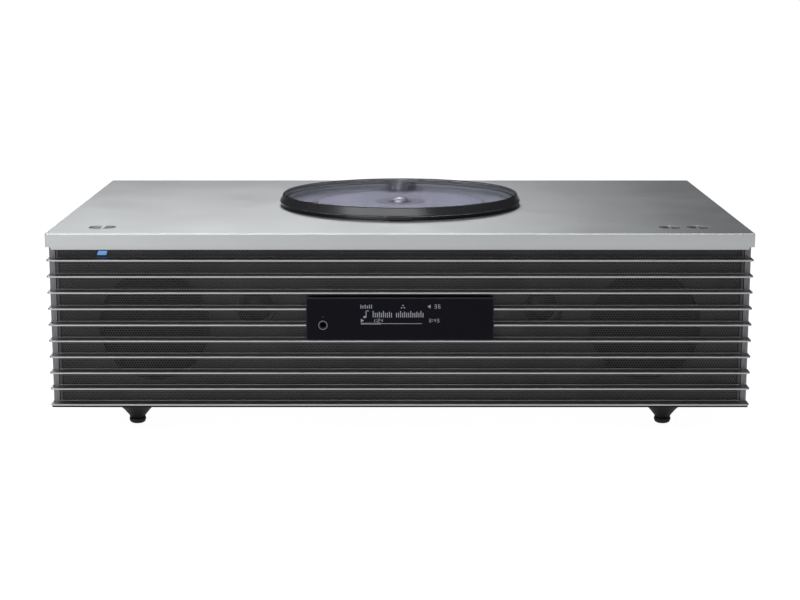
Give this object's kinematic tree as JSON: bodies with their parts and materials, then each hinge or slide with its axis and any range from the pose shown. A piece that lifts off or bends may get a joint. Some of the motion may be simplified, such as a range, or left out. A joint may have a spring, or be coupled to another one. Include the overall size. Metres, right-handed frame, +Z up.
{
  "type": "mini hifi system",
  "caption": "Flat one-box CD stereo with an aluminium top, louvred front grille, small display and a round clear disc cover that swivels aside.",
  "frame": {"origin": "on the floor under the middle of the cabinet, between the four feet", "axes": "+X to the right as seen from the front, +Y to the rear, +Z up; the louvred front faces -Y"},
  "size_m": [0.45, 0.28, 0.143],
  "materials": {
    "aluminium": "satin",
    "dark_metal": "satin",
    "louver": "satin",
    "mesh": "matte",
    "cabinet": "matte",
    "moulded": "matte",
    "gloss": "gloss",
    "acrylic": "gloss",
    "rubber": "matte",
    "steel": "satin",
    "disc": "gloss",
    "lens": "gloss",
    "nylon": "matte",
    "board": "matte",
    "cone": "matte",
    "lamp": "gloss",
    "screen": "gloss"
  },
  "bodies": {
    "cabinet": {"top_panel": "aluminium", "side_panel_left": "cabinet", "side_panel_right": "cabinet", "louver_frame": "louver", "grille_mesh": "mesh", "front_baffle": "cabinet", "bottom_panel": "cabinet", "rear_panel": "cabinet", "display_window": "gloss", "display_housing": "moulded", "display_screen": "screen", "headphone_jack": "dark_metal", "status_lamp": "lamp", "foot_front_left": "moulded", "foot_front_right": "moulded", "foot_rear_left": "moulded", "foot_rear_right": "moulded", "foot_pad_front_left": "rubber", "foot_pad_front_right": "rubber", "foot_pad_rear_left": "rubber", "foot_pad_rear_right": "rubber", "disc_well": "moulded", "pivot_bush": "nylon", "spindle_motor": "steel", "drive_chassis": "steel", "guide_rail_left": "steel", "guide_rail_right": "steel", "sled_motor": "steel", "key_board": "board", "woofer_left": "dark_metal", "woofer_right": "dark_metal", "tweeter_left": "dark_metal", "tweeter_right": "dark_metal", "port_tube_left": "moulded", "port_tube_right": "moulded", "subwoofer": "dark_metal", "main_board": "board", "power_supply": "steel", "heat_sink": "aluminium", "ac_inlet": "moulded", "lan_jack": "steel", "usb_port": "steel", "antenna_socket": "steel"},
    "disc_cover": {"lid_cover": "acrylic", "lid_pivot_cap": "dark_metal", "lid_pivot_shaft": "steel", "lid_finger_tab": "moulded"},
    "spindle": {"spindle_hub": "moulded", "compact_disc": "disc"},
    "pickup": {"pickup_sled": "moulded", "pickup_lens": "lens"},
    "feed_gear": {"sled_gear": "nylon"},
    "feed_pinion": {"motor_pinion": "nylon"},
    "power_key": {"power_button": "aluminium"},
    "volume_down_key": {"volume_down_button": "aluminium"},
    "volume_up_key": {"volume_up_button": "aluminium"},
    "left_cone": {"woofer_cone_left": "cone"},
    "right_cone": {"woofer_cone_right": "cone"},
    "sub_cone": {"subwoofer_cone": "cone"}
  },
  "joints": [
    {"name": "lid_swing", "type": "hinge", "parent": "cabinet", "child": "disc_cover", "pos_m": [0, 0.068, 0.138], "axis": [0, 0, 1], "range_deg": [0, 120]},
    {"name": "disc_spin", "type": "hinge", "parent": "cabinet", "child": "spindle", "pos_m": [0, 0, 0.133], "axis": [0, 0, 1], "continuous": true},
    {"name": "pickup_feed", "type": "slide", "parent": "cabinet", "child": "pickup", "axis": [0, -1, 0], "range_m": [0, 0.034]},
    {"name": "feed_gear_spin", "type": "hinge", "parent": "cabinet", "child": "feed_gear", "pos_m": [0.0336, -0.045, 0.11], "axis": [0, 0, 1], "range_deg": [0, 272]},
    {"name": "feed_pinion_spin", "type": "hinge", "parent": "cabinet", "child": "feed_pinion", "pos_m": [0.0438, -0.045, 0.11], "axis": [0, 0, 1], "range_deg": [-651, 0]},
    {"name": "power_press", "type": "slide", "parent": "cabinet", "child": "power_key", "axis": [0, 0, -1], "range_m": [0, 0.0008], "stiffness_N_per_m": 800, "springref_m": -0.0008},
    {"name": "volume_down_press", "type": "slide", "parent": "cabinet", "child": "volume_down_key", "axis": [0, 0, -1], "range_m": [0, 0.0008], "stiffness_N_per_m": 800, "springref_m": -0.0008},
    {"name": "volume_up_press", "type": "slide", "parent": "cabinet", "child": "volume_up_key", "axis": [0, 0, -1], "range_m": [0, 0.0008], "stiffness_N_per_m": 800, "springref_m": -0.0008},
    {"name": "left_cone_stroke", "type": "slide", "parent": "cabinet", "child": "left_cone", "axis": [0, -1, 0], "range_m": [-0.0015, 0.0015], "stiffness_N_per_m": 2000},
    {"name": "right_cone_stroke", "type": "slide", "parent": "cabinet", "child": "right_cone", "axis": [0, -1, 0], "range_m": [-0.0015, 0.0015], "stiffness_N_per_m": 2000},
    {"name": "sub_cone_stroke", "type": "slide", "parent": "cabinet", "child": "sub_cone", "axis": [0, 0, -1], "range_m": [-0.002, 0.002], "stiffness_N_per_m": 4000}
  ],
  "couplings": [
    {"joint": "feed_gear_spin", "follows": "pickup_feed", "rad_per_m": 138.89},
    {"joint": "feed_pinion_spin", "follows": "pickup_feed", "rad_per_m": -333.33}
  ]
}
